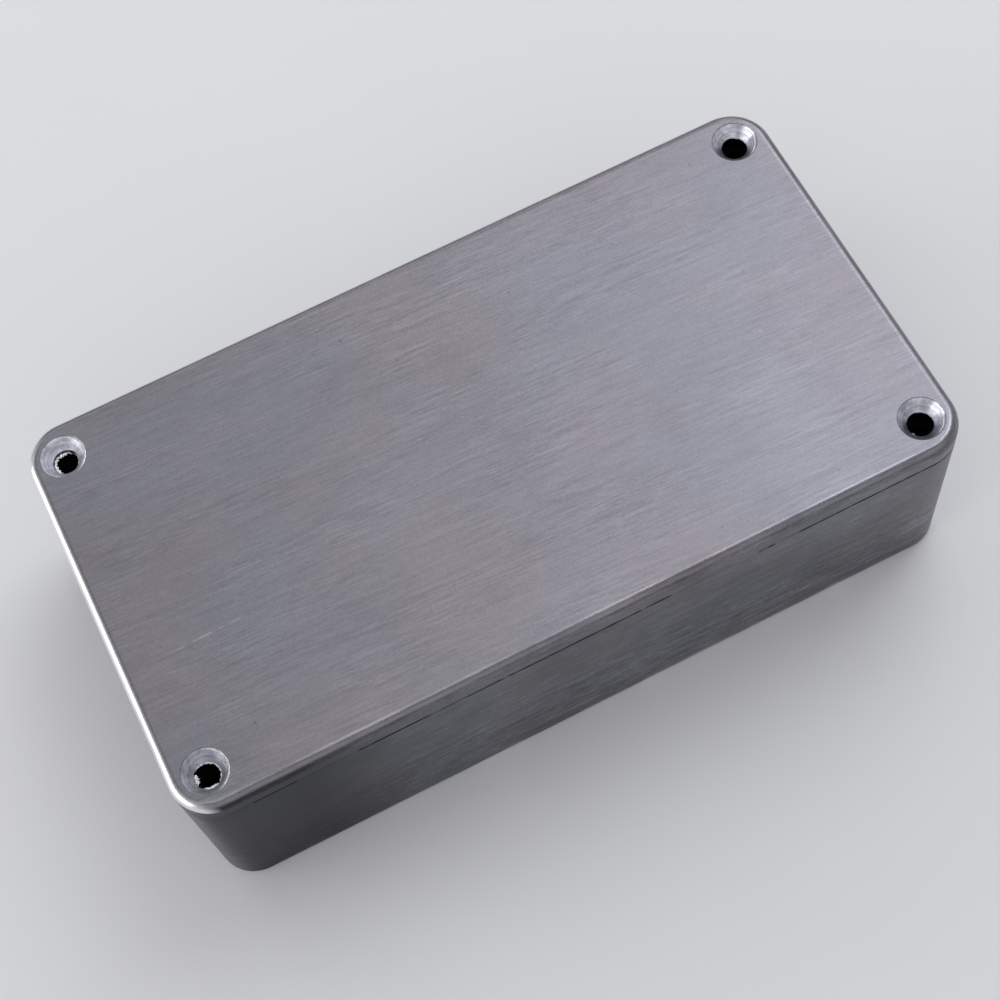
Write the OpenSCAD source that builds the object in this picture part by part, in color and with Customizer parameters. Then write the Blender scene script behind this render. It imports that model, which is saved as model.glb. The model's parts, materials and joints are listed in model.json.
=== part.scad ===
// Small die cast aluminium box: a drafted body with four screw pillars, and a flat lid whose
// tongue laps inside the walls. The box lies on its floor with the lid on top.
// Origin: centre of the underside. +X along the length, +Y across the width, +Z up.

/* [Case] */
// Outside length at the joint between body and lid
case_l = 112.4; // [80:0.1:200]
// Outside width at the joint between body and lid
case_w = 60.5; // [45:0.1:120]
// Outside height with the lid on
case_h = 31; // [24:0.5:80]
// Radius of the upright corners at the joint
corner_r = 5.9; // [5:0.1:7]

/* [Body walls] */
// Thickness of the side walls
wall = 2; // [1.5:0.1:2.6]
// Thickness of the floor
floor_t = 2; // [1.5:0.1:4]
// Lean of the walls in degrees, so that the casting leaves its die
draft = 1.5; // [0.5:0.1:2.5]
// Radius of the outside edge where the walls meet the underside
base_edge_r = 0.8; // [0.3:0.1:1.4]
// Radius of the inside edge where the walls meet the floor
floor_fillet_r = 1.5; // [0.5:0.1:2.4]

/* [Screw pillars] */
// Distance from the end faces to the screw axes, at the joint
screw_inset_x = 5.05; // [4.8:0.05:6]
// Distance from the long faces to the screw axes, at the joint
screw_inset_y = 5.35; // [4.8:0.05:6]
// Radius of a pillar
pillar_r = 3.6; // [3.2:0.1:4.4]
// Radius of the flare where a pillar runs into a wall
pillar_flare_r = 2; // [1.8:0.1:3]
// Radius of the screw hole in a pillar
tap_r = 1.45; // [1.2:0.05:1.7]
// Depth of the full-width screw hole in a pillar
tap_depth = 14; // [8:0.5:18]
// Point angle of the drill that makes the screw hole
drill_angle = 118; // [90:1:140]

/* [Lid] */
// Height of the lid's edge above the joint
lid_edge_h = 3.2; // [2.6:0.1:5]
// Thickness of the lid's plate inside the tongue
plate_t = 2; // [1.5:0.1:2.5]
// Radius of the round along the lid's top edge
lid_round_r = 1.4; // [0.5:0.1:2]
// Length of the tongue below the joint
tongue_h = 1.8; // [1:0.1:4]
// Thickness of the tongue
tongue_t = 1.3; // [0.8:0.1:1.5]
// Clearance between the tongue's tip and the wall beside it
tongue_gap = 0.12; // [0.05:0.01:0.2]
// Bevel of each of the two edges that meet at the joint
joint_bevel = 0.1; // [0.05:0.01:0.3]

/* [Lid screw holes] */
// Radius of a screw hole in the lid
lid_hole_r = 1.8; // [1.75:0.05:2.2]
// Radius of a countersink at the lid's top face
sink_r = 3.2; // [2.8:0.1:3.4]
// Included angle of a countersink in degrees
sink_angle = 82; // [80:1:100]

/* [Hidden] */
$fn = 64;

cast_colour = "silver";
// how far a cutting form runs past the face that it cuts
past = 1;
// how far inside a wall a pillar's flare starts, so that it also meets a wall that leans away
flare_root = 0.3;

body_h = case_h - lid_edge_h;
// sides of the rectangle that joins the axes of the four upright corners
core_l = case_l - 2 * corner_r;
core_w = case_w - 2 * corner_r;
screw_x = case_l / 2 - screw_inset_x;
screw_y = case_w / 2 - screw_inset_y;
// the wall leans in beside the tongue, so the tongue starts that much further in, rounded up
// to the hundredth
tongue_in = ceil(100 * (tongue_gap + tongue_h * tan(draft))) / 100;
sink_depth = (sink_r - lid_hole_r) / tan(sink_angle / 2);

// ---- plane shapes ----

// What lies between two edges that leave a corner at the angles a and b, and the arc of
// radius r that meets both: taken away it rounds the corner, added it fills it. It runs past
// both edges, so that no skin stays along them.
module corner_sliver(corner, a, b, r) {
    half = (b - a) / 2;
    inward = [cos(a + half), sin(a + half)];
    centre = corner + r / sin(half) * inward;
    difference() {
        polygon([
            corner - past / sin(half) * inward,
            centre + (r + past) * [sin(a), -cos(a)],
            centre,
            centre + (r + past) * [-sin(b), cos(b)]
        ]);
        translate(centre) circle(r);
    }
}

// Sections are drawn with x as the distance out from a corner axis and y as the height.
// This one narrows towards its bottom: at the joint its edge lies inset inside the case.
module drafted_section(inset, bottom, top, edge_r) {
    edge = corner_r - inset;
    foot = edge - (body_h - bottom) * tan(draft);
    head = edge + (top - body_h) * tan(draft);
    difference() {
        polygon([[0, bottom], [foot, bottom], [head, top], [0, top]]);
        corner_sliver([foot, bottom], 90 - draft, 180, edge_r);
    }
}

// The body's outer section, with its upper edge bevelled
module body_section() {
    difference() {
        drafted_section(0, 0, body_h, base_edge_r);
        translate([corner_r, body_h]) bevel();
    }
}

// The lid's section above the joint: rounded at the top, bevelled at the joint
module lid_section() {
    difference() {
        translate([0, body_h]) square([corner_r, lid_edge_h]);
        corner_sliver([corner_r, case_h], 180, 270, lid_round_r);
        translate([corner_r, body_h]) bevel();
    }
}

// A square on its point, which bevels an edge that passes through its middle
module bevel() {
    rotate(45) square(joint_bevel * sqrt(2), center = true);
}

// Plan of the pillar in the corner where x and y are positive, grown by grow all round: a
// round boss, carried straight out into both walls and flared where it meets them
module pillar_plan(grow) {
    r = pillar_r + grow;
    root_x = case_l / 2 - wall - grow + flare_root;
    root_y = case_w / 2 - wall - grow + flare_root;
    // a flare keeps its centre as the plan grows, so its arc shrinks
    flare_r = max(pillar_flare_r - grow, joint_bevel);
    translate([screw_x, screw_y]) circle(r);
    translate([screw_x - r, screw_y]) square([case_l, case_w]);
    translate([screw_x, screw_y - r]) square([case_l, case_w]);
    corner_sliver([screw_x - r, root_y], 180, 270, flare_r);
    corner_sliver([root_x, screw_y - r], 180, 270, flare_r);
}

// Plan of the space inside the walls and between the pillars, taken in by inset all round
module inside_plan(inset) {
    difference() {
        square([case_l - 2 * (wall + inset), case_w - 2 * (wall + inset)], center = true);
        in_corners() pillar_plan(inset);
    }
}

// ---- placing and sweeping ----

// Repeats a form of the positive corner in all four corners
module in_corners() {
    for (mx = [0, 1], my = [0, 1])
        mirror([mx, 0, 0]) mirror([0, my, 0]) children();
}

// Carries a section once round the case, on its four straight sides and four corners
module around_case() {
    for (turn = [0, 180]) rotate([0, 0, turn]) {
        translate([core_l / 2, core_w / 2, 0]) {
            rotate_extrude(angle = 90) children();
            rotate([90, 0, 0]) linear_extrude(core_w) children();
        }
        translate([-core_l / 2, core_w / 2, 0]) rotate([0, 0, 90]) {
            rotate_extrude(angle = 90) children();
            rotate([90, 0, 0]) linear_extrude(core_l) children();
        }
    }
}

// Fills the rectangle between the corner axes
module core_block(bottom, top) {
    translate([-core_l / 2, -core_w / 2, bottom]) cube([core_l, core_w, top - bottom]);
}

// ---- body ----

// The hollow of the body: a smaller drafted form, less the four pillars left standing in it
module body_hollow() {
    top = body_h + past;
    difference() {
        union() {
            around_case() drafted_section(wall, floor_t, top, floor_fillet_r);
            core_block(floor_t, top);
        }
        linear_extrude(top + past) in_corners() pillar_plan(0);
    }
}

// A drilled hole in a pillar, with the cone that the drill's point leaves
module tapped_hole() {
    translate([0, 0, body_h - tap_depth]) {
        cylinder(h = tap_depth + past, r = tap_r);
        mirror([0, 0, 1]) cylinder(h = tap_r / tan(drill_angle / 2), r1 = tap_r, r2 = 0);
    }
}

module body() {
    color(cast_colour) difference() {
        union() {
            around_case() body_section();
            core_block(0, body_h);
        }
        body_hollow();
        in_corners() translate([screw_x, screw_y, 0]) tapped_hole();
    }
}

// ---- lid ----

// A countersunk hole through the lid
module countersunk_hole() {
    translate([0, 0, body_h - past]) cylinder(h = lid_edge_h + 2 * past, r = lid_hole_r);
    translate([0, 0, case_h - sink_depth])
        cylinder(
            h = sink_depth + past,
            r1 = lid_hole_r,
            r2 = sink_r + past * tan(sink_angle / 2)
        );
}

module lid() {
    color(cast_colour) difference() {
        union() {
            around_case() lid_section();
            core_block(body_h, case_h);
            translate([0, 0, body_h - tongue_h])
                linear_extrude(tongue_h) inside_plan(tongue_in);
        }
        // the pocket under the plate, which leaves the tongue standing round it
        translate([0, 0, body_h - tongue_h - past])
            linear_extrude(past + tongue_h + lid_edge_h - plate_t)
                inside_plan(tongue_in + tongue_t);
        in_corners() translate([screw_x, screw_y, 0]) countersunk_hole();
    }
}

body();
lid();
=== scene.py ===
"""Looks of the small die cast aluminium box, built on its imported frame.

Lengths in this script are in metres. Inside the materials they are in millimetres, because the
object coordinates are multiplied by 1000 there.
"""

import math
import random

import json

import bmesh
import bpy
from mathutils import Matrix, Vector


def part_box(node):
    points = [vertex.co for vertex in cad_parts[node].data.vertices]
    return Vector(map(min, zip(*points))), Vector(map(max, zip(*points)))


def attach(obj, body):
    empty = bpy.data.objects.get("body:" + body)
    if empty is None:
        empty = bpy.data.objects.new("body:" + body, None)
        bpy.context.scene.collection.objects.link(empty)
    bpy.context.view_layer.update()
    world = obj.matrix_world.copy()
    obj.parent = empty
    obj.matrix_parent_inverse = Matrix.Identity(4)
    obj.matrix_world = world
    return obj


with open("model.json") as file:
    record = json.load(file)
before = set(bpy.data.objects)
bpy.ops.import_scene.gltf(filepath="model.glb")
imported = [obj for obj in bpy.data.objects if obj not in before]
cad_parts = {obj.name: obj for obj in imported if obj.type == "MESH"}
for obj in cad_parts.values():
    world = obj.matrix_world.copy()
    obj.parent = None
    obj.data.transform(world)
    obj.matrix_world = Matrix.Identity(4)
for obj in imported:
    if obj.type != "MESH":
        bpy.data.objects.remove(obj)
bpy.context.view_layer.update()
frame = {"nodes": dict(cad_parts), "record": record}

MM = 0.001

# ---- sizes of the object, from the frame where it holds them ----

mounts = {mount["name"]: mount for mount in frame["record"]["mounts"]}
screws = mounts["lid_screws"]["dims"]
lid_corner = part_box("lid")[1]
TOP = lid_corner.z
HALF_L = lid_corner.x
HALF_W = lid_corner.y
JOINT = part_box("body")[1].z
CORNER_R = 5.9 * MM
JOINT_BEVEL = 0.1 * MM
SCREW_X = screws["spacing_x_mm"] / 2 * MM
SCREW_Y = screws["spacing_y_mm"] / 2 * MM
HOLE_R = screws["hole_r_mm"] * MM
TAP_R = mounts["pillar_threads"]["dims"]["hole_r_mm"] * MM
SINK_R = 3.2 * MM
SINK_HALF_ANGLE = math.radians(41)
# height at which a countersink ends and its straight hole starts
BORE_TOP = TOP - (SINK_R - HOLE_R) / math.tan(SINK_HALF_ANGLE)

# ---- values of the finish ----

# lean of the strokes on the lid, of some that cross them, and of those on the sides, in radians
LID_GRAIN = math.radians(2.0)
LID_CROSSING = math.radians(3.0)
SIDE_GRAIN = math.radians(2.0)

# how fine each kind of stroke is along x, y and z, in waves for each mm
LID_FINE = (0.2, 5.0, 0.5)
LID_CROSSED = (0.3, 4.5, 0.5)
LID_LONG = (0.035, 1.7, 0.5)
LID_PATCHES = (0.06, 0.2, 0.1)
SIDE_FINE = (0.2, 0.2, 2.4)
SIDE_LONG = (0.08, 0.08, 1.1)
SIDE_MARKS = (0.26, 0.26, 2.4)
# values of the stroke noise that count as the darkest and the brightest strokes
STROKES_LOW, STROKES_HIGH = 0.36, 0.64

# each face has two colours, which drift into each other
LID_COLOUR = (0.226, 0.224, 0.252)
LID_WARM = (0.236, 0.222, 0.243)
# the sides' colours are darker than the lid's: partly their own ground finish, partly painted
# shade
SIDE_COLOUR_WITH_SHADE = (0.180, 0.188, 0.212)
SIDE_WARM_WITH_SHADE = (0.192, 0.183, 0.200)
TURNED_COLOUR = (0.76, 0.77, 0.85)
# bare metal's colour, also used as painted highlight along the left edge and on the rims of BURRS
BARE_AND_HIGHLIGHT_COLOUR = (0.85, 0.85, 0.86)
EDGE_COLOUR = (0.16, 0.16, 0.175)
# painted shade: threads and bores are painted near black, standing in for the shade inside the
# holes
THREAD_SHADE_COLOUR = (0.012, 0.012, 0.012)
BORE_SHADE_COLOUR = (0.006, 0.006, 0.006)
FLOOR_COLOUR = (0.80, 0.80, 0.81)
WORLD_COLOUR = (0.42, 0.422, 0.43)

# stretches of the front side, in mm from its middle, where grinding has closed the joint, and
# how far closed: 1 is flush and 0 is open
FRONT_CLOSED = [
    (-56.0, -47.5, 0.95),
    (-47.5, -41.4, 0.2),
    (-41.4, -33.0, 0.85),
    (-23.0, -21.4, 0.6),
    (-21.4, -17.5, 0.3),
    (-12.6, -11.8, 0.9),
    (7.1, 7.6, 0.9),
    (11.3, 13.0, 0.85),
    (13.0, 17.6, 0.95),
    (17.6, 24.1, 1.0),
    (26.6, 27.4, 1.0),
    (27.4, 30.2, 0.6),
    (47.9, 48.2, 0.9),
]
# the same on the back, and on the two ends by their distance from the middle
BACK_CLOSED = [(-38.0, -34.0, 0.9), (-9.0, -8.0, 0.7), (19.0, 25.0, 1.0)]
END_CLOSED = [(-13.0, -11.0, 0.9), (8.0, 13.0, 0.8)]

# one faint scratch across the strokes of the lid, from and to, in mm
SCRATCH = ((-50.0, -8.3), (-38.4, -8.0))

# ragged metal at the mouths of the holes: (hole, first and last degree round the axis, radius,
# width and height in mm, depth of its middle below the top face in mm)
BURRS = [
    # bright rims on the right of the countersinks: raised metal, laid only where a highlight
    # falls, so partly a painted highlight
    ("left_far", -80, 85, 3.08, 0.42, 0.28, 0.19),
    ("left_near", -85, 85, 3.08, 0.42, 0.28, 0.19),
    ("right_far", -70, 30, 2.85, 0.10, 0.10, 0.36),
    ("right_near", -70, 20, 2.85, 0.10, 0.10, 0.36),
    # torn metal round the bores
    ("left_far", 40, 230, 1.58, 0.52, 0.16, 2.1),
    ("left_far", 225, 400, 1.72, 0.22, 0.16, 2.0),
    ("left_near", 145, 200, 1.60, 0.6, 0.2, 1.95),
    ("left_near", 225, 300, 1.62, 0.55, 0.2, 1.95),
    ("left_near", -60, 140, 1.76, 0.30, 0.2, 1.75),
    ("right_far", -10, 80, 1.79, 0.12, 0.2, 1.75),
    ("right_near", -10, 80, 1.79, 0.12, 0.2, 1.75),
    ("right_near", 200, 225, 1.76, 0.2, 0.25, 1.8),
]


# ---- nodes of a material ----


class Nodes:
    """Short ways to add nodes to one material. A value is a number or another node's socket."""

    def __init__(self, name):
        self.material = bpy.data.materials.new(name)
        self.material.use_nodes = True
        self.tree = self.material.node_tree
        self.shader = self.tree.nodes["Principled BSDF"]
        # the point of the object in millimetres, whole and in parts
        coordinates = self.new("TexCoord").outputs["Object"]
        self.place = self.vector("MULTIPLY", coordinates, (1 / MM,) * 3)
        self.x, self.y, self.z = self.parts(self.place)

    def new(self, kind, **settings):
        node = self.tree.nodes.new("ShaderNode" + kind)
        for key, value in settings.items():
            setattr(node, key, value)
        return node

    def put(self, value, socket):
        """Sets a socket to a number or a colour, or joins another node's socket to it."""
        if isinstance(value, bpy.types.NodeSocket):
            self.tree.links.new(value, socket)
        elif isinstance(value, tuple) and socket.type == "RGBA":
            socket.default_value = (*value, 1.0)
        else:
            socket.default_value = value

    def math(self, operation, a, b=0.0, c=0.0):
        node = self.new("Math", operation=operation)
        for value, socket in zip((a, b, c), node.inputs):
            self.put(value, socket)
        return node.outputs[0]

    def times(self, *values):
        """The product of the values."""
        product = values[0]
        for value in values[1:]:
            product = self.math("MULTIPLY", product, value)
        return product

    def less(self, a, b):
        """Value a less value b."""
        return self.math("SUBTRACT", a, b)

    def lift(self, tint, share, amount):
        """The tint, raised by the amount where the share is 1 and unchanged where it is 0."""
        return self.times(tint, self.math("MULTIPLY_ADD", share, amount, 1.0))

    def vector(self, operation, a, b):
        node = self.new("VectorMath", operation=operation)
        self.put(a, node.inputs[0])
        self.put(b, node.inputs[1])
        return node.outputs["Vector"]

    def parts(self, vector):
        node = self.new("SeparateXYZ")
        self.put(vector, node.inputs[0])
        return tuple(node.outputs)

    def facing(self):
        """The parts of the direction that the surface faces."""
        return self.parts(self.new("NewGeometry").outputs["Normal"])

    def rotated(self, axis, angle):
        """The point of the object, rotated about one axis."""
        node = self.new("VectorRotate", rotation_type=axis + "_AXIS")
        self.put(self.place, node.inputs["Vector"])
        node.inputs["Angle"].default_value = angle
        return node.outputs[0]

    def moved(self, by):
        """The point of the object moved, so that a noise is not the same as another."""
        return self.vector("ADD", self.place, by)

    def ramp(self, value, low, high, to_low=0.0, to_high=1.0, smooth=True):
        """Carries value from the range low..high to the range to_low..to_high."""
        node = self.new("MapRange", interpolation_type="SMOOTHSTEP" if smooth else "LINEAR")
        for item, socket in zip((value, low, high, to_low, to_high), node.inputs):
            self.put(item, socket)
        return node.outputs[0]

    def noise(self, vector, scale=1.0, detail=2.0, roughness=0.5):
        node = self.new("TexNoise")
        self.put(vector, node.inputs["Vector"])
        node.inputs["Scale"].default_value = scale
        node.inputs["Detail"].default_value = detail
        node.inputs["Roughness"].default_value = roughness
        return node.outputs["Fac"]

    def strokes(self, vector, fineness, detail, roughness):
        """Noise that is drawn out into strokes."""
        return self.noise(self.vector("MULTIPLY", vector, fineness), 1.0, detail, roughness)

    def cells(self, vector, scale):
        """Distance from the nearest of many scattered points."""
        node = self.new("TexVoronoi")
        self.put(vector, node.inputs["Vector"])
        node.inputs["Scale"].default_value = scale
        return node.outputs["Distance"]

    def curve(self, value, points):
        """Straight lines through the points (value, result), values within 0 to 1."""
        node = self.new("FloatCurve")
        self.put(value, node.inputs["Value"])
        line = node.mapping.curves[0]
        for i, (here, result) in enumerate(points):
            point = line.points[i] if i < 2 else line.points.new(here, result)
            point.location = (here, result)
        for point in line.points:
            point.handle_type = "VECTOR"
        node.mapping.update()
        return node.outputs[0]

    def mix(self, share, a, b):
        """Colour a where share is 0, colour b where it is 1."""
        node = self.new("Mix", data_type="RGBA")
        for value, socket in zip((share, a, b), (node.inputs[0], *node.inputs[6:8])):
            self.put(value, socket)
        return node.outputs[2]

    def mix_value(self, share, a, b):
        """Number a where share is 0, number b where it is 1."""
        node = self.new("Mix", data_type="FLOAT")
        for value, socket in zip((share, a, b), (node.inputs[0], *node.inputs[2:4])):
            self.put(value, socket)
        return node.outputs[0]

    def shade(self, colour, by):
        """Colour multiplied by a grey value."""
        node = self.new("Mix", data_type="RGBA", blend_type="MULTIPLY")
        node.inputs[0].default_value = 1.0
        self.put(colour, node.inputs[6])
        self.put(by, node.inputs[7])
        return node.outputs[2]

    def bump(self, height, distance, strength):
        node = self.new("Bump")
        node.inputs["Strength"].default_value = strength
        node.inputs["Distance"].default_value = distance
        self.put(height, node.inputs["Height"])
        return node.outputs[0]

    def finish(self, colour, roughness, normal=None, metallic=1.0):
        self.put(colour, self.shader.inputs["Base Color"])
        self.put(roughness, self.shader.inputs["Roughness"])
        self.shader.inputs["Metallic"].default_value = metallic
        if normal is not None:
            self.put(normal, self.shader.inputs["Normal"])
        return self.material


def screw_distance(n):
    """Distance in millimetres from the nearest of the four screw axes."""
    dx = n.less(n.math("ABSOLUTE", n.x), SCREW_X / MM)
    dy = n.less(n.math("ABSOLUTE", n.y), SCREW_Y / MM)
    return n.math("SQRT", n.math("ADD", n.times(dx, dx), n.times(dy, dy)))


# ---- the joint ----


def closed_at(stretches, along):
    """How far the joint is closed at a distance along a side, in mm."""
    return max([level for low, high, level in stretches if low <= along <= high] + [0.0])


def closed_curve(n, stretches, along):
    """closed_at() as nodes."""
    reach, step = 60.0, 0.12
    points = [(0.0, closed_at(stretches, -reach))]
    for edge in sorted({edge for low, high, _ in stretches for edge in (low, high)}):
        for here in (edge - step, edge + step):
            points.append(((here + reach) / (2 * reach), closed_at(stretches, here)))
    points.append((1.0, closed_at(stretches, reach)))
    return n.curve(n.ramp(along, -reach, reach, smooth=False), points)


def joint_shut(n, facing):
    """1 where the joint is ground shut and 0 where it is open."""
    front = closed_curve(n, FRONT_CLOSED, n.x)
    back = closed_curve(n, BACK_CLOSED, n.x)
    end = closed_curve(n, END_CLOSED, n.y)
    long_side = n.mix_value(n.ramp(facing[1], -0.1, 0.1), front, back)
    return n.mix_value(n.ramp(n.math("ABSOLUTE", facing[0]), 0.6, 0.8), long_side, end)


def seam_shade(n, facing):
    """1 on the faces, dark in and beside the joint's groove where it is open."""
    groove = JOINT / MM - 0.02
    darkest = 0.97
    dark = n.ramp(n.math("ABSOLUTE", n.less(n.z, groove)), 0.36, 0.17)
    opened = n.less(1.0, joint_shut(n, facing))
    uneven = n.ramp(n.noise(n.place, 0.5), 0.3, 0.6, 0.6, 1.0)
    return n.less(1.0, n.times(dark, opened, n.times(uneven, darkest)))


# ---- ground metal ----


def lid_strokes(n):
    """Short fine strokes that lie along the lid's top, in patches, with a fine grain between
    them: about 0 to 1."""
    along = n.rotated("Z", LID_GRAIN)
    fine = n.strokes(along, LID_FINE, 3.0, 0.7)
    crossed = n.strokes(n.rotated("Z", LID_GRAIN + LID_CROSSING), LID_CROSSED, 3.0, 0.7)
    drawn = n.strokes(along, LID_LONG, 3.0, 0.6)
    grain = n.noise(n.place, 3.4, roughness=0.7)
    patches = n.ramp(n.strokes(n.place, LID_PATCHES, 2.0, 0.5), 0.35, 0.65, 0.4, 1.0)
    both = n.math("MULTIPLY_ADD", crossed, 0.4, n.times(fine, 0.6))
    lines = n.times(n.less(both, 0.5), patches)
    lines = n.math("MULTIPLY_ADD", n.less(drawn, 0.5), 0.15, lines)
    return n.math("ADD", n.math("MULTIPLY_ADD", n.less(grain, 0.5), 0.3, lines), 0.5)


def side_strokes(n):
    """Longer strokes that run along the sides, leaning a little."""
    along = n.rotated("Y", -SIDE_GRAIN)
    fine = n.strokes(along, SIDE_FINE, 4.0, 0.75)
    drawn = n.strokes(along, SIDE_LONG, 4.0, 0.7)
    grain = n.noise(n.place, 2.2, roughness=0.7)
    lines = n.math("MULTIPLY_ADD", fine, 0.6, n.times(drawn, 0.4))
    return n.math("MULTIPLY_ADD", n.less(grain, 0.5), 0.25, lines)


def stroke_lines(n, strokes):
    """Strokes spread out to the range -1 to 1."""
    return n.ramp(strokes, STROKES_LOW, STROKES_HIGH, -1.0, 1.0, smooth=False)


def side_colour(n, strokes):
    """Colour of the ground sides: strokes, clouds, a pale line where the foot has rubbed, and
    painted shade at the near side's left end.
    """
    cloud = n.noise(n.place, 0.09, detail=4.0, roughness=0.6)
    hue = n.ramp(n.noise(n.moved((9.0, 4.0, 50.0)), 0.06), 0.4, 0.6)
    # the strokes are stronger low on the sides than beside the joint
    low = n.ramp(n.z, 22.0, 6.0, 0.55, 1.0)
    marks = n.ramp(n.strokes(n.place, SIDE_MARKS, 3.0, 0.7), 0.6, 0.7)
    tint = n.ramp(cloud, 0.3, 0.7, 0.88, 1.12)
    tint = n.times(tint, n.math("POWER", 1.9, n.times(stroke_lines(n, strokes), low)))
    tint = n.lift(tint, n.times(marks, low), 0.6)
    # painted shade: the near side is darkened towards its left end
    near = -HALF_W / MM
    painted_left_shade = n.times(n.ramp(n.x, -20.0, -42.0), n.ramp(n.y, near + 2.75, near + 0.45))
    tint = n.lift(tint, painted_left_shade, -0.72)
    foot = n.times(n.ramp(n.z, 1.5, 0.9), n.ramp(cloud, 0.4, 0.6, 0.3, 1.0))
    tint = n.lift(tint, foot, 0.7)
    return n.shade(n.mix(hue, SIDE_COLOUR_WITH_SHADE, SIDE_WARM_WITH_SHADE), tint)


def body_metal(name, with_joint_and_hole_shade):
    """Ground metal: plain, or with the body's dark joint and its holes painted dark as shade."""
    n = Nodes(name)
    strokes = side_strokes(n)
    colour = side_colour(n, strokes)
    if with_joint_and_hole_shade:
        colour = n.shade(colour, seam_shade(n, n.facing()))
        # painted shade: the holes, and what shows of the pillars' tops round them, are painted
        # near black down to a height between the holes' ends and the floor
        hole, lowest = HOLE_R / MM, 8.0
        around = n.ramp(screw_distance(n), hole + 0.15, hole)
        hole_shade = n.times(around, n.ramp(n.z, lowest, lowest + 2))
        colour = n.mix(hole_shade, colour, BORE_SHADE_COLOUR)
    roughness = n.ramp(strokes, 0.3, 0.7, 0.42, 0.52)
    return n.finish(colour, roughness, n.bump(strokes, 0.03 * MM, 0.4))


# ---- the lid's metal ----


def scratch_mark(n):
    """1 along the scratch, broken here and there."""
    (x0, y0), (x1, y1) = SCRATCH
    line = n.math("MULTIPLY_ADD", n.less(n.x, x0), (y1 - y0) / (x1 - x0), y0)
    off = n.math("ABSOLUTE", n.less(n.y, line))
    within = n.times(n.ramp(n.x, x0, x0 + 4), n.ramp(n.x, x1, x1 - 1))
    broken = n.ramp(n.noise(n.place, 0.9), 0.35, 0.6)
    return n.times(n.ramp(off, 0.12, 0.03), within, broken)


def painted_edge_highlight(n, facing):
    """1 where the start of the lid's round is painted bright as a highlight: more in some places
    than in others, and not on the far side."""
    band = n.times(n.ramp(facing[2], 0.9999, 0.992), n.ramp(facing[2], 0.93, 0.965))
    patchy = n.ramp(n.noise(n.place, 0.09, detail=3.0), 0.35, 0.6)
    return n.times(band, patchy, n.ramp(facing[1], -0.02, -0.08))


def painted_left_edge_highlight(n, facing):
    """1 where the left edge is painted bright as a highlight, along the outer part of its round.
    """
    band = n.times(n.ramp(facing[0], -0.12, -0.5), n.ramp(facing[2], 0.02, 0.10))
    return n.times(band, n.ramp(n.noise(n.place, 0.12, detail=3.0), 0.3, 0.5, 0.6, 1.0))


def lid_colour(n, strokes, facing):
    """Colour of the lid's top: strokes, faint clouds and stains, pits, specks, a scratch and a
    painted highlight along the near edge.
    """
    cloud = n.noise(n.place, 0.05, detail=3.0)
    hue = n.ramp(n.noise(n.moved((3.0, 60.0, 0.0)), 0.04), 0.4, 0.6)
    stain = n.noise(n.moved((31.0, 7.0, 0.0)), 0.11, detail=4.0, roughness=0.6)
    pits = n.ramp(n.cells(n.place, 0.16), 0.035, 0.02)
    specks = n.ramp(n.cells(n.moved((5.0, 8.0, 0.0)), 0.13), 0.02, 0.01)
    # the strokes show more on the right
    depth = n.ramp(n.x, -25.0, 10.0, 0.2, 0.27)
    tint = n.times(n.ramp(cloud, 0.3, 0.7, 0.96, 1.04), n.ramp(stain, 0.5, 0.8, 1.0, 0.93))
    tint = n.lift(tint, stroke_lines(n, strokes), depth)
    tint = n.times(tint, n.ramp(pits, 0.0, 1.0, 1.0, 0.7))
    tint = n.lift(tint, specks, 0.5)
    tint = n.lift(tint, scratch_mark(n), 0.5)
    # painted highlight along the start of the near edge's round
    tint = n.lift(tint, painted_edge_highlight(n, facing), 0.45)
    return n.shade(n.mix(hue, LID_COLOUR, LID_WARM), tint)


def turned_rings(n, distance):
    """Rings that the countersinking tool has left round a screw axis."""
    ring_place = n.new("CombineXYZ")
    n.put(distance, ring_place.inputs[0])
    return n.noise(ring_place.outputs[0], 4.5, detail=3.0)


def turned_colour(n, rings, worn):
    """Colour of the countersinks: the near one of the left two is dull, the far one bright."""
    blotches = n.noise(n.place, 0.9, detail=3.0, roughness=0.7)
    left = n.ramp(n.y, -10.0, 10.0, 0.78, 1.08)
    tint = n.times(n.ramp(rings, 0.3, 0.7, 0.75, 1.1), n.ramp(worn, 0.0, 1.0, 1.0, left))
    return n.shade(TURNED_COLOUR, n.times(tint, n.ramp(blotches, 0.35, 0.65, 0.72, 1.12)))


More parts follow.
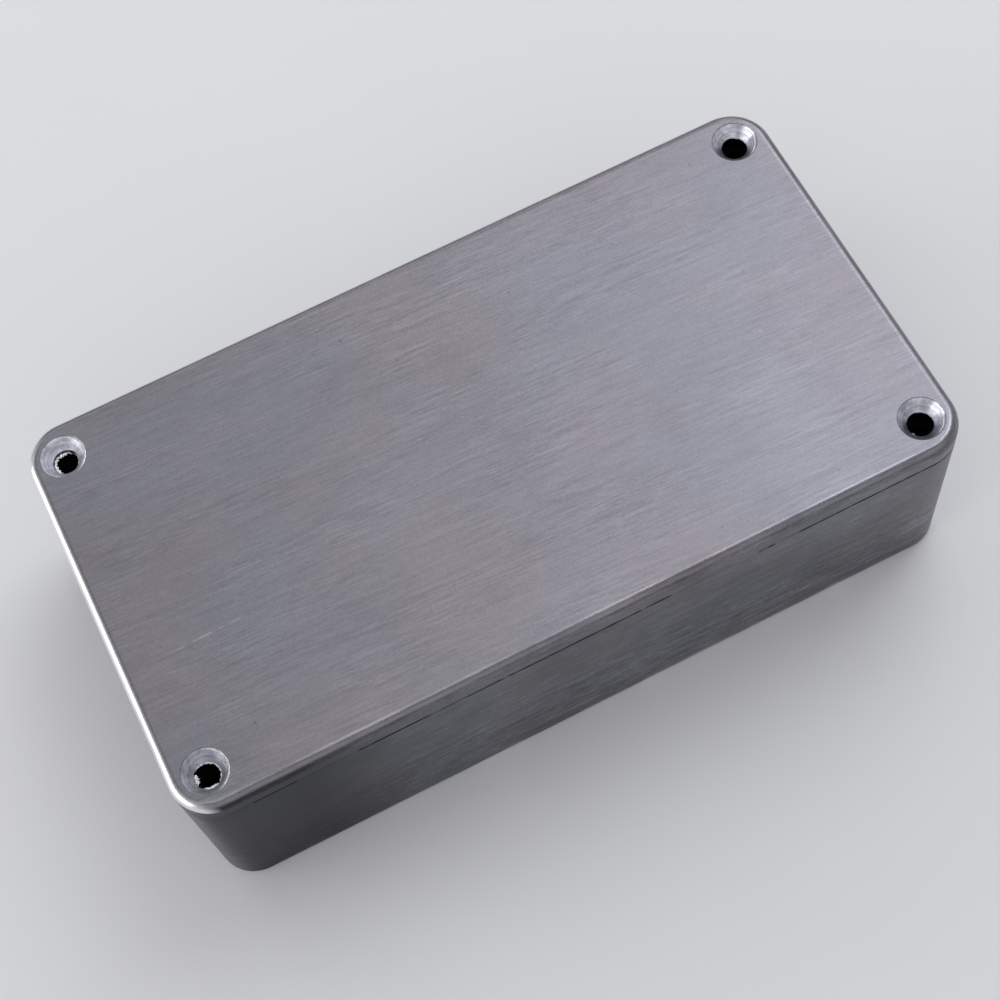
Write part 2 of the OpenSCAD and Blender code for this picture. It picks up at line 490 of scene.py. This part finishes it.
def lid_metal():
    n = Nodes("brushed_lid_metal")
    facing = n.facing()
    facing_up = facing[2]
    strokes = n.mix_value(n.ramp(facing_up, 0.90, 0.99), side_strokes(n), lid_strokes(n))

    # countersinks, with turned rings in place of strokes
    sink, hole, bore_top = SINK_R / MM, HOLE_R / MM, BORE_TOP / MM
    distance = screw_distance(n)
    in_sink = n.times(n.ramp(distance, sink + 0.05, sink - 0.05), n.ramp(facing_up, 0.97, 0.93))
    # painted shade: the straight bores below the countersinks are painted near black
    bore_shade = n.times(
        n.ramp(distance, hole + 0.15, hole + 0.02), n.ramp(n.z, bore_top, bore_top - 0.3)
    )
    rings = turned_rings(n, distance)
    # the two on the left are rougher, as a worn tool leaves them
    worn = n.ramp(n.x, 5.0, -5.0)

    # the lid's own sides take the sides' darker colour, partly painted shade
    side = n.ramp(facing_up, 0.80, 0.50)
    colour = n.mix(side, lid_colour(n, strokes, facing), side_colour(n, strokes))
    # painted highlight along the left edge's round
    colour = n.mix(painted_left_edge_highlight(n, facing), colour, BARE_AND_HIGHLIGHT_COLOUR)
    colour = n.mix(in_sink, colour, turned_colour(n, rings, worn))
    colour = n.mix(bore_shade, colour, BORE_SHADE_COLOUR)
    colour = n.shade(colour, seam_shade(n, facing))

    # the round along the edge is smoother than the faces beside it
    edge = n.times(n.ramp(facing_up, 0.9995, 0.99), n.ramp(facing_up, 0.4, 0.6))
    roughness = n.times(n.ramp(strokes, 0.3, 0.7, 0.34, 0.44), n.ramp(edge, 0.0, 1.0, 1.0, 0.7))
    roughness = n.mix_value(in_sink, roughness, n.ramp(worn, 0.0, 1.0, 0.32, 0.46))
    ground = n.times(strokes, n.ramp(in_sink, 0.0, 1.0, 1.0, 0.0))
    height = n.math("ADD", ground, n.times(rings, in_sink))
    return n.finish(colour, roughness, n.bump(height, 0.02 * MM, 0.4))


# ---- cut metal ----


def cut_metal(name, colour):
    """Dull cut metal: the edges of holes, and thread crests, whose near black colour is painted
    shade in their hole.
    """
    n = Nodes(name)
    grain = n.noise(n.place, 4.0)
    return n.finish(n.shade(colour, n.ramp(grain, 0.3, 0.7, 0.6, 1.2)), 0.55)


def bare_and_glint_metal():
    """Freshly torn or cut edges: brighter than the ground faces. The bright rims of BURRS, laid
    where a highlight falls, use it as a partly painted highlight.
    """
    n = Nodes("bare_and_glint_metal")
    grain = n.noise(n.place, 6.0, detail=3.0)
    colour = n.shade(BARE_AND_HIGHLIGHT_COLOUR, n.ramp(grain, 0.3, 0.7, 0.7, 1.1))
    return n.finish(colour, n.ramp(grain, 0.3, 0.7, 0.3, 0.5), n.bump(grain, 0.05 * MM, 0.5))


def give(piece, material):
    piece.data.materials.clear()
    piece.data.materials.append(material)


give(frame["nodes"]["lid"], lid_metal())
give(frame["nodes"]["body"], body_metal("ground_body_metal", True))
flash_metal = body_metal("flash_metal", False)
# painted shade: the thread crests are painted near black
shaded_thread_metal = cut_metal("shaded_thread_metal", THREAD_SHADE_COLOUR)
edge_metal = cut_metal("dull_edge_metal", EDGE_COLOUR)
torn_and_glint_metal = bare_and_glint_metal()


# ---- small forms that the solids leave out ----


def mesh_object(name, shape):
    """A new object in the scene, made of a bmesh, which it uses up."""
    mesh = bpy.data.meshes.new(name)
    shape.to_mesh(mesh)
    shape.free()
    made = bpy.data.objects.new(name, mesh)
    bpy.context.scene.collection.objects.link(made)
    return made


def add_piece(name, rows, closed, material, smooth=True):
    """A mesh of rows of points, each row joined to the next, riding on the box."""
    shape = bmesh.new()
    grid = [[shape.verts.new(point) for point in row] for row in rows]
    count = len(grid)
    for i in range(count if closed else count - 1):
        here, there = grid[i], grid[(i + 1) % count]
        for j in range(len(here)):
            k = (j + 1) % len(here)
            shape.faces.new((here[j], there[j], there[k], here[k]))
    if not closed:
        shape.faces.new(grid[0])
        shape.faces.new(reversed(grid[-1]))
    bmesh.ops.recalc_face_normals(shape, faces=shape.faces)
    piece = mesh_object(name, shape)
    for face in piece.data.polygons:
        face.use_smooth = smooth
    give(piece, material)
    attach(piece, "root")


def outline(step):
    """Points round the case at the joint, each with its outward direction."""
    found = []
    inner_l, inner_w = HALF_L - CORNER_R, HALF_W - CORNER_R
    corners = [(1, -1), (1, 1), (-1, 1), (-1, -1)]
    for index, (sx, sy) in enumerate(corners):
        # straight side that leads up to this corner, then the corner itself
        last = corners[index - 1]
        start = Vector((last[0] * inner_l, last[1] * inner_w))
        stop = Vector((sx * inner_l, sy * inner_w))
        run = stop - start
        out = Vector((run.y, -run.x)).normalized()
        count = int(run.length / step)
        for i in range(count):
            found.append((start + run * (i / count) + out * CORNER_R, out))
        turn = math.atan2(out.y, out.x)
        arc = int(CORNER_R * math.pi / 2 / step)
        for i in range(arc):
            angle = turn + math.pi / 2 * i / arc
            out_here = Vector((math.cos(angle), math.sin(angle)))
            found.append((stop + out_here * CORNER_R, out_here))
    return found


def make_seam_flash():
    """Metal dragged into the groove of the joint, flush in some stretches and low in others."""
    step = 0.25 * MM
    unevenness = 0.06
    # recess of the metal below the face where the joint is open, and how far closing raises it,
    # both as shares of the bevel
    deepest, raised = 1.02, 0.94
    least_half = 0.002 * MM
    root_depth, root_half = 0.05 * MM, 0.003 * MM
    dice = random.Random(7)
    rows = []
    for place, out in outline(step):
        if abs(out.x) > 0.7:
            wish = closed_at(END_CLOSED, place.y / MM)
        else:
            wish = closed_at(FRONT_CLOSED if out.y < 0 else BACK_CLOSED, place.x / MM)
        shut = min(max(wish + dice.uniform(-unevenness, unevenness), 0.0), 1.0)
        recess = JOINT_BEVEL * (deepest - raised * shut)
        half = max(JOINT_BEVEL - recess, least_half)
        face = place - out * recess
        root = place - out * (JOINT_BEVEL + root_depth)
        rows.append([
            (face.x, face.y, JOINT - half),
            (face.x, face.y, JOINT + half),
            (root.x, root.y, JOINT + root_half),
            (root.x, root.y, JOINT - root_half),
        ])
    add_piece("seam_flash", rows, True, flash_metal, smooth=False)


def ring_rows(centre, z, radius, wide, tall, angles, ends_taper, jag, seed):
    """Rows of a ring round a screw axis: its section is oval, with a size uneven by jag."""
    dice = random.Random(seed)
    sides = 8
    rows = []
    for i, angle in enumerate(angles):
        fade = 1.0
        if ends_taper:
            share = i / (len(angles) - 1)
            fade = min(1.0, 6 * share, 6 * (1 - share)) * 0.95 + 0.05
        wide_here = wide * fade * (1 + jag * dice.uniform(-1, 1))
        tall_here = tall * fade * (1 + jag * dice.uniform(-1, 1))
        middle = radius + jag * wide * 0.5 * dice.uniform(-1, 1)
        row = []
        for k in range(sides):
            turn = 2 * math.pi * k / sides
            r = middle + wide_here / 2 * math.cos(turn)
            row.append((
                centre[0] + r * math.cos(angle),
                centre[1] + r * math.sin(angle),
                z + tall_here / 2 * math.sin(turn),
            ))
        rows.append(row)
    return rows


def make_sink_edge(centre, name, seed):
    """The countersink's edge, broken to a small bead that stays under the top face."""
    bead, steps = 0.13 * MM, 96
    angles = [2 * math.pi * i / steps for i in range(steps)]
    rows = ring_rows(
        centre, TOP - 0.6 * bead, SINK_R - 0.02 * MM, bead, bead, angles, False, 0.15, seed
    )
    add_piece("sink_edge_" + name, rows, True, edge_metal)


def make_thread(centre, name):
    """The screw thread's crest, wound down the pillar's hole."""
    pitch, turns, per_turn = 0.6 * MM, 18, 24
    crest = 0.16 * MM
    outer = TAP_R + 0.03 * MM
    start = JOINT - 0.35 * MM
    half = pitch * 0.42
    tip = half * 0.15
    steps = turns * per_turn
    rows = []
    for i in range(steps + 1):
        angle = 2 * math.pi * i / per_turn
        z = start - pitch * i / per_turn
        inner = TAP_R - crest * min(1.0, i / per_turn, (steps - i) / per_turn)
        row = []
        for r, dz in ((outer, half), (inner, tip), (inner, -tip), (outer, -half)):
            row.append((centre[0] + r * math.cos(angle), centre[1] + r * math.sin(angle), z + dz))
        rows.append(row)
    add_piece("thread_" + name, rows, False, shaded_thread_metal)


def make_burrs(centre, name):
    """The ragged metal that BURRS lists for one hole."""
    degrees_a_step, fewest_steps = 5, 12
    for index, (hole, first, last, radius, wide, tall, depth) in enumerate(BURRS):
        if hole != name:
            continue
        steps = max(fewest_steps, int((last - first) / degrees_a_step))
        start, stop = math.radians(first), math.radians(last)
        angles = [start + (stop - start) * i / steps for i in range(steps + 1)]
        # the rims are even, and the torn metal round the bores is not
        jag = 0.12 if radius > 2 else 0.45
        rows = ring_rows(
            centre, TOP - depth * MM, radius * MM, wide * MM, tall * MM, angles, True, jag,
            20 + index,
        )
        add_piece("burr_%s_%d" % (name, index), rows, False, torn_and_glint_metal, smooth=False)


def make_hole_details():
    for sx, along in ((-1, "left"), (1, "right")):
        for sy, across in ((-1, "near"), (1, "far")):
            centre = (sx * SCREW_X, sy * SCREW_Y)
            name = along + "_" + across
            make_sink_edge(centre, name, 3 + sx + 5 * sy)
            make_thread(centre, name)
            make_burrs(centre, name)


make_seam_flash()
make_hole_details()


# ---- camera ----

# the point that the camera looks at, and where it stands from there
AIM = Vector((-2.36 * MM, -9.08 * MM, TOP))
AZIMUTH = math.radians(-16.1)
ELEVATION = math.radians(64.1)
ROLL = math.radians(-11.3)
DISTANCE = 273.2 * MM
# focal length and width of the sensor, in mm
LENS = 75.64
SENSOR = 36


def direction(azimuth, elevation):
    """Unit vector from the object, azimuth 0 in front of it and positive to its right."""
    return Vector((
        math.sin(azimuth) * math.cos(elevation),
        -math.cos(azimuth) * math.cos(elevation),
        math.sin(elevation),
    ))


def make_camera():
    back = direction(AZIMUTH, ELEVATION)
    level = (-back).cross(Vector((0, 0, 1))).normalized()
    upward = level.cross(-back)
    right = level * math.cos(ROLL) + upward * math.sin(ROLL)
    data = bpy.data.cameras.new("camera")
    data.lens = LENS
    data.sensor_width = SENSOR
    data.clip_start = 0.01
    data.clip_end = 50
    camera = bpy.data.objects.new("camera", data)
    bpy.context.scene.collection.objects.link(camera)
    axes = Matrix((right, back.cross(right), back)).transposed()
    camera.matrix_world = Matrix.Translation(AIM + back * DISTANCE) @ axes.to_4x4()
    bpy.context.scene.camera = camera


make_camera()


# ---- floor and light ----

# name, azimuth and elevation in degrees, distance, width and height in m, power in W, colour
LAMPS = [
    ("overhead", 158, 63, 0.8, 0.9, 0.6, 0.68, (1.0, 1.0, 1.0)),
    ("overhead_right", 123, 51, 0.8, 0.5, 0.6, 1.55, (0.88, 0.92, 1.0)),
    ("right_key", 125, 26, 0.9, 0.9, 0.5, 0.45, (0.9, 0.94, 1.0)),
    ("zenith_strip", 20, 88, 0.7, 1.2, 0.10, 0.45, (1.0, 1.0, 1.0)),
    ("left", -98, 12, 0.6, 0.7, 0.35, 1.5, (1.0, 1.0, 1.0)),
    ("back", 180, 28, 0.9, 1.2, 0.3, 0.8, (1.0, 1.0, 1.0)),
    ("front", 0, 42, 1.2, 1.4, 0.9, 1.2, (1.0, 1.0, 1.0)),
]


def make_floor():
    """A plain pale floor, a hair below the box so that the two don't share a plane."""
    n = Nodes("pale_floor")
    grain = n.noise(n.place, 0.02, detail=3.0)
    colour = n.shade(FLOOR_COLOUR, n.ramp(grain, 0.2, 0.8, 0.985, 1.0))
    n.finish(colour, 0.9, metallic=0.0)
    n.shader.inputs["Specular IOR Level"].default_value = 0.0
    shape = bmesh.new()
    bmesh.ops.create_grid(shape, x_segments=1, y_segments=1, size=4.0)
    floor = mesh_object("floor", shape)
    floor.location = (0, 0, -0.02 * MM)
    give(floor, n.material)


def make_world():
    world = bpy.data.worlds.new("studio")
    world.use_nodes = True
    background = world.node_tree.nodes["Background"]
    background.inputs["Color"].default_value = (*WORLD_COLOUR, 1.0)
    background.inputs["Strength"].default_value = 1.0
    bpy.context.scene.world = world


def make_lamp(name, azimuth, elevation, distance, width, height, power, colour):
    """A soft lamp that faces the middle of the box."""
    data = bpy.data.lights.new(name, "AREA")
    data.shape = "RECTANGLE"
    data.size = width
    data.size_y = height
    data.energy = power
    data.color = colour
    lamp = bpy.data.objects.new(name, data)
    bpy.context.scene.collection.objects.link(lamp)
    outward = direction(math.radians(azimuth), math.radians(elevation))
    lamp.location = outward * distance
    lamp.rotation_euler = outward.to_track_quat("Z", "Y").to_euler()


make_floor()
make_world()
for lamp_values in LAMPS:
    make_lamp(*lamp_values)

bpy.context.scene.view_settings.view_transform = "Standard"
